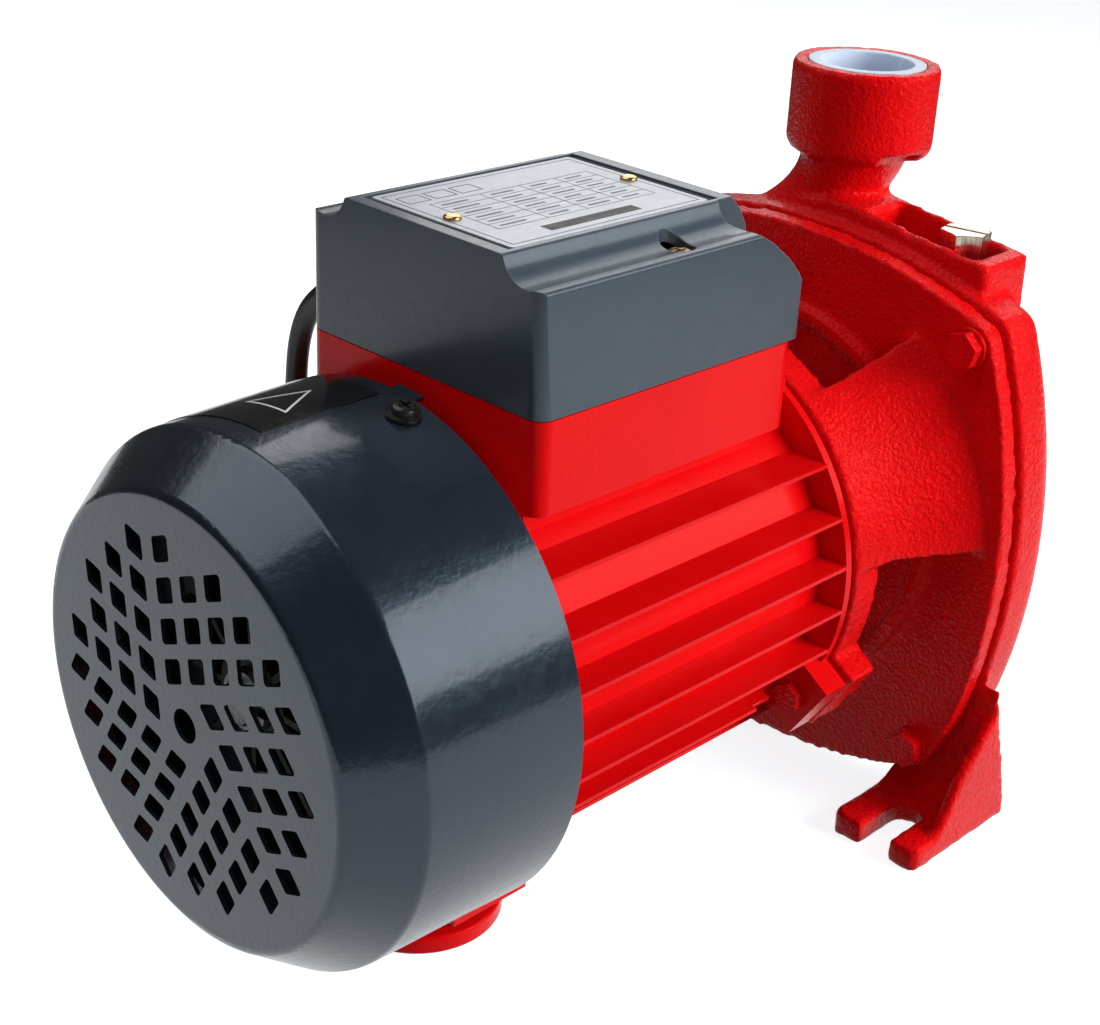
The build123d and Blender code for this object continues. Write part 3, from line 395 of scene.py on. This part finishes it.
def slate_plastic():
    """Moulded plastic with a fine spark-eroded grain and paler edges, which are a painted
    highlight.
    """
    g = Graph("slate_plastic", Coat_Weight=0.45, Coat_Roughness=0.16,
              Specular_Tint=(0.75, 0.88, 1.0))
    body = g.colours(g.noise(9, 3), shade(SLATE_LID, 0.88), SLATE_LID)
    # the lid's sharp edges are painted paler, as a painted highlight
    g.set("Base Color", g.mixed(g.highlighted_edges(0.45), body, LID_EDGE_HIGHLIGHT))
    g.sheen(1.5, 2, 0.30, 0.42)
    g.bump((g.noise(0.5, 2), 0.020), edge_mm=0.6)
    return g.material


def dark_plastic(name, colour, roughness, grain_mm):
    """Plastic or rubber with a faint grain and soft edges."""
    g = Graph(name, Coat_Weight=0.1, Coat_Roughness=0.3)
    g.mottle(6, 3, shade(colour, 0.75), colour)
    g.sheen(2, 2, roughness - 0.06, roughness + 0.06)
    g.bump((g.noise(grain_mm, 2), 0.012), edge_mm=0.4)
    return g.material


def white_plastic():
    """Soft translucent polyethylene."""
    g = Graph("white_plastic", Subsurface_Weight=0.35, Subsurface_Scale=0.004,
              Subsurface_Radius=(0.7, 0.85, 1.0), Roughness=0.33, IOR=1.5)
    g.mottle(8, 2, (0.50, 0.58, 0.70), (0.56, 0.64, 0.76))
    g.bump((g.noise(2.0, 2), 0.02), edge_mm=0.5)
    return g.material


def metal(name, colour, dark, roughness, scratch=(1, 1, 1), depth_mm=0.004, grain_mm=0.8,
          bare=1.0):
    """Bare or plated metal, with marks drawn out along the axis whose scratch factor is low."""
    g = Graph(name, Metallic=bare)
    along = g.stretched(*scratch)
    g.mottle(5, 4, dark, colour, end=0.65)
    g.sheen(grain_mm, 4, roughness - 0.08, roughness + 0.10, along)
    g.bump((g.noise(grain_mm, 3, along), depth_mm), edge_mm=0.25)
    return g.material


def lamination():
    """Edges of stacked sheets, lying across the shaft."""
    g = Graph("lamination", Metallic=0.9)
    wave = g.add("ShaderNodeTexWave", wave_type="BANDS", bands_direction="X")
    wave.inputs["Scale"].default_value = SHEET_WAVE_SCALE
    wave.inputs["Distortion"].default_value = 0.3
    g.link(g.place, wave.inputs["Vector"])
    g.mottle(6, 3, (0.13, 0.13, 0.14), (0.26, 0.26, 0.27))
    g.sheen(2, 3, 0.35, 0.55)
    g.bump((wave.outputs["Fac"], 0.05))
    return g.material


def winding():
    """Varnished copper wires, lying round the shaft."""
    g = Graph("winding", Metallic=0.55, Coat_Weight=0.6, Coat_Roughness=0.2)
    strands = g.noise(0.9, 2, g.stretched(1.0, 0.16, 0.16), distortion=0.5)
    copper = g.colours(strands, (0.16, 0.045, 0.012), (0.52, 0.20, 0.07), 0.35, 0.65)
    g.set("Base Color", copper)
    g.sheen(3, 2, 0.30, 0.45)
    g.bump((strands, 0.35))
    return g.material


def ceramic():
    """Glazed ceramic of the seal's rings."""
    g = Graph("ceramic", Coat_Weight=0.3, Coat_Roughness=0.1)
    g.mottle(1.2, 3, (0.62, 0.60, 0.54), (0.74, 0.72, 0.66), 0.35, 0.65)
    g.sheen(1.5, 2, 0.20, 0.32)
    g.bump((g.noise(0.5, 2), 0.004), edge_mm=0.3)
    return g.material


def black_film():
    """Glossy printed film, faintly wavy where it follows the cover."""
    g = Graph("black_label", Coat_Weight=0.5, Coat_Roughness=0.05)
    g.mottle(7, 3, (0.004, 0.004, 0.005), (0.008, 0.008, 0.009))
    g.sheen(5, 3, 0.12, 0.24)
    g.bump((g.noise(3.0, 2), 0.02))
    return g.material


def ink(name, colour):
    """Matt printing ink, slightly uneven."""
    g = Graph(name)
    g.mottle(0.6, 3, shade(colour, 0.8), colour)
    g.sheen(2, 2, 0.40, 0.55)
    return g.material


def stage_paint(name, glow, albedo):
    """Matt white that gives a little light of its own."""
    g = Graph(name, Emission_Color=(0.95, 0.98, 1.0), Emission_Strength=glow, Roughness=0.75)
    g.mottle(120, 2, (albedo,) * 3, (albedo * 0.97,) * 3)
    return g.material


def make_materials():
    """A material for each slot in the record, by the slot's name."""
    materials = {
        "red_cast": red_cast(),
        "red_frame": red_frame(),
        "slate_paint": slate_paint(),
        "slate_plastic": slate_plastic(),
        "black_label": black_film(),
        "white_plastic": white_plastic(),
        "lamination": lamination(),
        "winding": winding(),
        "ceramic": ceramic(),
    }
    for name, settings in DARK_PLASTICS.items():
        materials[name] = dark_plastic(name, *settings)
    for name, settings in METALS.items():
        materials[name] = metal(name, **settings)
    return materials


def paint_nodes(materials):
    """Gives each CAD node the material of its slot in the record."""
    for entry in frame["record"]["subparts"]:
        node = frame["nodes"][entry["node"]]
        node.data.materials.clear()
        node.data.materials.append(materials[entry["material_slot"]])


# --- pieces --------------------------------------------------------------------------------------

def new_piece(name, data, body, material):
    piece = add_object(name, data)
    data.materials.clear()
    data.materials.append(material)
    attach(piece, body)
    return piece


def coil_points():
    """Stored turns, clockwise from above; each ends by moving to the next one's place."""
    points = []
    grow = 1 / math.cos(math.pi / POINTS_PER_TURN)
    for k, (r, z) in enumerate(COIL_SLOTS):
        next_r, next_z = COIL_SLOTS[min(k + 1, len(COIL_SLOTS) - 1)]
        for i in range(POINTS_PER_TURN):
            turned = i / POINTS_PER_TURN
            share = max(0.0, 1 - (1 - turned) / COIL_STEP_SHARE)
            angle = math.radians(COIL_START_ANGLE - 360 * turned)
            reach = (r + share * (next_r - r)) * grow
            x = COIL_X + reach * math.cos(angle)
            y = COIL_Y + reach * math.sin(angle)
            points.append((x, y, z + share * (next_z - z)))
    return points


def make_cord(materials):
    """The supply cord in one run, from its gland to the mains plug."""
    route = CORD_START + coil_points() + CORD_END
    data = bpy.data.curves.new("cord_run", "CURVE")
    data.dimensions = "3D"
    data.bevel_depth = CORD_R * MM
    data.bevel_resolution = 5
    data.resolution_u = 6
    data.use_fill_caps = True
    spline = data.splines.new("NURBS")
    spline.points.add(len(route) - 1)
    for point, at in zip(spline.points, route):
        point.co = (*row(*at), 1)
    spline.order_u = 3
    spline.use_endpoint_u = True
    cord = new_piece("cord_run", data, "housing", materials["cord"])
    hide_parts("supply_cord", "cord_coil", "plug_cord")


def even_mesh(name, node, voxel_mm):
    """The node's mesh, rebuilt from cells of one size."""
    source = add_object("source", frame["nodes"][node].data.copy())
    clean = bmesh.new()
    clean.from_mesh(source.data)
    bmesh.ops.remove_doubles(clean, verts=clean.verts, dist=WELD_DISTANCE)
    clean.to_mesh(source.data)
    clean.free()
    remesh = source.modifiers.new("remesh", "REMESH")
    remesh.mode = "VOXEL"
    remesh.voxel_size = voxel_mm * MM
    graph = bpy.context.evaluated_depsgraph_get()
    mesh = bpy.data.meshes.new_from_object(source.evaluated_get(graph))
    bpy.data.objects.remove(source)
    mesh.name = name
    return mesh


def read_points(mesh):
    points = np.zeros(len(mesh.vertices) * 3, np.float32)
    mesh.vertices.foreach_get("co", points)
    return points.reshape(-1, 3).astype(float)


def write_points(mesh, points):
    mesh.vertices.foreach_set("co", points.astype(np.float32).ravel())
    mesh.update()


def read_edges(mesh):
    edges = np.zeros(len(mesh.edges) * 2, np.int32)
    mesh.edges.foreach_get("vertices", edges)
    return edges.reshape(-1, 2)


def read_normals(mesh):
    normals = np.zeros(len(mesh.vertices) * 3, np.float32)
    mesh.vertex_normals.foreach_get("vector", normals)
    return normals.reshape(-1, 3).astype(float)


def neighbour_mean(values, edges):
    """For each vertex, the mean of its neighbours' values."""
    total = np.zeros_like(values)
    count = np.zeros(len(values))
    for a, b in ((0, 1), (1, 0)):
        np.add.at(total, edges[:, a], values[edges[:, b]])
        np.add.at(count, edges[:, a], 1)
    return total / np.maximum(count, 1)[:, None]


def ridges(points, normals, edges):
    """One at vertices on outside edges, and nought on flat and hollow places."""
    length = np.linalg.norm(points[edges[:, 0]] - points[edges[:, 1]], axis=1).mean()
    sharp = ((points - neighbour_mean(points, edges)) * normals).sum(1) / length
    for _ in range(SMOOTHING_ROUNDS):
        sharp = neighbour_mean(sharp[:, None], edges)[:, 0]
    return np.clip((sharp - RIDGE_START) / RIDGE_SPAN, 0, 1)


def noise_at(points, frequency, shift):
    return np.array([noise.noise(Vector(p) * frequency + shift) for p in points])


def roughen(mesh, pebble_mm, flash_mm, seed):
    """Softens the mesh, and gives it a pebbled skin and uneven flash on its outside edges."""
    points = read_points(mesh)
    edges = read_edges(mesh)
    for _ in range(SMOOTHING_ROUNDS):
        points += SMOOTHING_SHARE * (neighbour_mean(points, edges) - points)
    write_points(mesh, points)
    normals = read_normals(mesh)
    shift = Vector((seed, 2 * seed, 3 * seed))
    pebble = noise_at(points, PEBBLE_FREQUENCY, shift)
    pebble += GRIT_SHARE * noise_at(points, GRIT_FREQUENCY, shift)
    flash = ridges(points, normals, edges) * noise_at(points, FLASH_FREQUENCY, -shift)
    offset = (pebble_mm * pebble + flash_mm * flash) * MM
    write_points(mesh, points + normals * offset[:, None])


def make_castings(materials):
    """The two sand castings, each in place of its CAD node."""
    for name, node, voxel_mm, pebble_mm, flash_mm, seed in CASTINGS:
        mesh = even_mesh(name, node, voxel_mm)
        roughen(mesh, pebble_mm, flash_mm, seed)
        for face in mesh.polygons:
            face.use_smooth = True
        piece = new_piece(name, mesh, "housing", materials["red_cast"])
        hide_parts(node)


def flat_mesh(name, rectangles, z, thickness):
    """Thin raised rectangles, each given as x0, x1, y0, y1 in drawing millimetres."""
    mesh = bpy.data.meshes.new(name)
    work = bmesh.new()
    for x0, x1, y0, y1 in rectangles:
        corners = ((x0, y0), (x1, y0), (x1, y1), (x0, y1))
        low = [work.verts.new(row(x, y, z)) for x, y in corners]
        high = [work.verts.new(v.co + Vector((0, 0, thickness * MM))) for v in low]
        work.faces.new(high)
        work.faces.new(low[::-1])
        for i in range(4):
            j = (i + 1) % 4
            work.faces.new((low[i], low[j], high[j], high[i]))
    work.to_mesh(mesh)
    work.free()
    return mesh


def outline(x0, x1, y0, y1, width):
    """Four bars round a rectangle."""
    return [
        (x0, x1, y0, y0 + width),
        (x0, x1, y1 - width, y1),
        (x0, x0 + width, y0 + width, y1 - width),
        (x1 - width, x1, y0 + width, y1 - width),
    ]


def table_lines():
    x0, x1, y0, y1 = PLATE_TABLE
    bars = []
    for k in range(PLATE_ROWS + 1):
        y = y0 + k * (y1 - y0) / PLATE_ROWS
        bars.append((x0, x1, y, y + PLATE_TABLE_LINE))
    for share in PLATE_COLUMN_SHARES:
        x = x0 + share * (x1 - x0)
        bars.append((x, x + PLATE_TABLE_LINE, y0, y1))
    return bars


def table_entries():
    """A bar for each entry; the two middle columns' lengths change from row to row."""
    x0, x1, y0, y1 = PLATE_TABLE
    bars = []
    for k in range(PLATE_ROWS):
        y = y0 + (k + 0.5) * (y1 - y0) / PLATE_ROWS
        lengths = (9, 7 + k % 2, 8 - k % 3, 6)
        for share, length in zip(PLATE_ENTRY_SHARES, lengths):
            x = x0 + share * (x1 - x0)
            bars.append((x, x + length, y - PLATE_ENTRY_HALF_HEIGHT, y + PLATE_ENTRY_HALF_HEIGHT))
    return bars


def plate_print():
    """Ruled rows, boxes and bars, which stand for a data table."""
    bars = outline(*PLATE_FRAME, PLATE_FRAME_LINE) + table_lines() + table_entries()
    x0, x1, y0, y1 = PLATE_BOX
    for k in range(PLATE_BOX_COUNT):
        along = k * PLATE_BOX_PITCH
        bars += outline(x0 + along, x1 + along, y0, y1, PLATE_BOX_LINE)
    return bars


def make_plate_print():
    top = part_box("nameplate")[1].z / MM - SHAFT_HEIGHT
    for name, bars, ink_name, colour in (
        ("plate_print", plate_print(), "plate_ink", TABLE_INK),
        ("plate_bar", [PLATE_BAR], "bold_ink", BOLD_INK),
    ):
        mesh = flat_mesh(name, bars, top + PRINT_LIFT, PRINT_THICKNESS)
        new_piece(name, mesh, "housing", ink(ink_name, colour))


def on_cover(x, angle, lift):
    """A point over the fan cover's side, at an angle that rises from -Y."""
    share = (x - COVER_SHOULDER[0]) / (COVER_RIM[0] - COVER_SHOULDER[0])
    r = COVER_SHOULDER[1] + share * (COVER_RIM[1] - COVER_SHOULDER[1]) + lift
    a = math.radians(angle)
    return row(x, -r * math.cos(a), r * math.sin(a))


def triangle_ring(scale):
    """Points along the triangle's sides, as (x, angle), scaled about its middle."""
    middle_x, middle_angle = (sum(values) / 3 for values in zip(*TRIANGLE))
    ring = []
    for (x0, a0), (x1, a1) in zip(TRIANGLE, TRIANGLE[1:] + TRIANGLE[:1]):
        for i in range(TRIANGLE_SIDE_POINTS):
            share = i / TRIANGLE_SIDE_POINTS
            x = middle_x + (x0 + share * (x1 - x0) - middle_x) * scale
            angle = middle_angle + (a0 + share * (a1 - a0) - middle_angle) * scale
            ring.append((x, angle))
    return ring


def make_triangle():
    """A plain triangle drawn in a narrow line on the sticker."""
    mesh = bpy.data.meshes.new("sticker_outline")
    work = bmesh.new()
    low, high = TRIANGLE_LIFT, TRIANGLE_LIFT + TRIANGLE_THICKNESS
    outer, inner = triangle_ring(1.0), triangle_ring(TRIANGLE_INNER_SCALE)
    outer_low, outer_high, inner_low, inner_high = (
        [work.verts.new(on_cover(x, angle, lift)) for x, angle in ring]
        for ring, lift in ((outer, low), (outer, high), (inner, low), (inner, high))
    )
    strips = (
        (outer_high, inner_high),
        (inner_low, outer_low),
        (outer_low, outer_high),
        (inner_high, inner_low),
    )
    for i in range(len(outer)):
        j = (i + 1) % len(outer)
        for a, b in strips:
            work.faces.new((a[i], a[j], b[j], b[i]))
    bmesh.ops.recalc_face_normals(work, faces=work.faces)
    work.to_mesh(mesh)
    work.free()
    new_piece("sticker_outline", mesh, "housing", ink("white_ink", WHITE_INK))


def stage_disc(name, radius, z, material):
    mesh = bpy.data.meshes.new(name)
    work = bmesh.new()
    bmesh.ops.create_circle(work, cap_ends=True, segments=DISC_SEGMENTS, radius=radius)
    work.to_mesh(mesh)
    work.free()
    mesh.materials.append(material)
    disc = add_object(name, mesh)
    disc.location = (STUDIO_CENTRE[0], STUDIO_CENTRE[1], z)
    return disc


def make_floor():
    """A pale floor, and a white card under it that only reflections see."""
    paint = stage_paint("floor", FLOOR_GLOW, FLOOR_ALBEDO)
    floor = stage_disc("floor", FLOOR_RADIUS, FLOOR_Z, paint)
    floor.visible_glossy = False
    floor.visible_diffuse = False
    paint = stage_paint("card", CARD_GLOW, CARD_ALBEDO)
    card = stage_disc("card", CARD_RADIUS, CARD_Z, paint)
    card.visible_camera = False
    card.visible_diffuse = False
    card.visible_shadow = False


def make_scene():
    make_camera()
    materials = make_materials()
    make_cord(materials)
    make_studio()
    make_floor()
    paint_nodes(materials)
    make_castings(materials)
    make_plate_print()
    make_triangle()


make_scene()
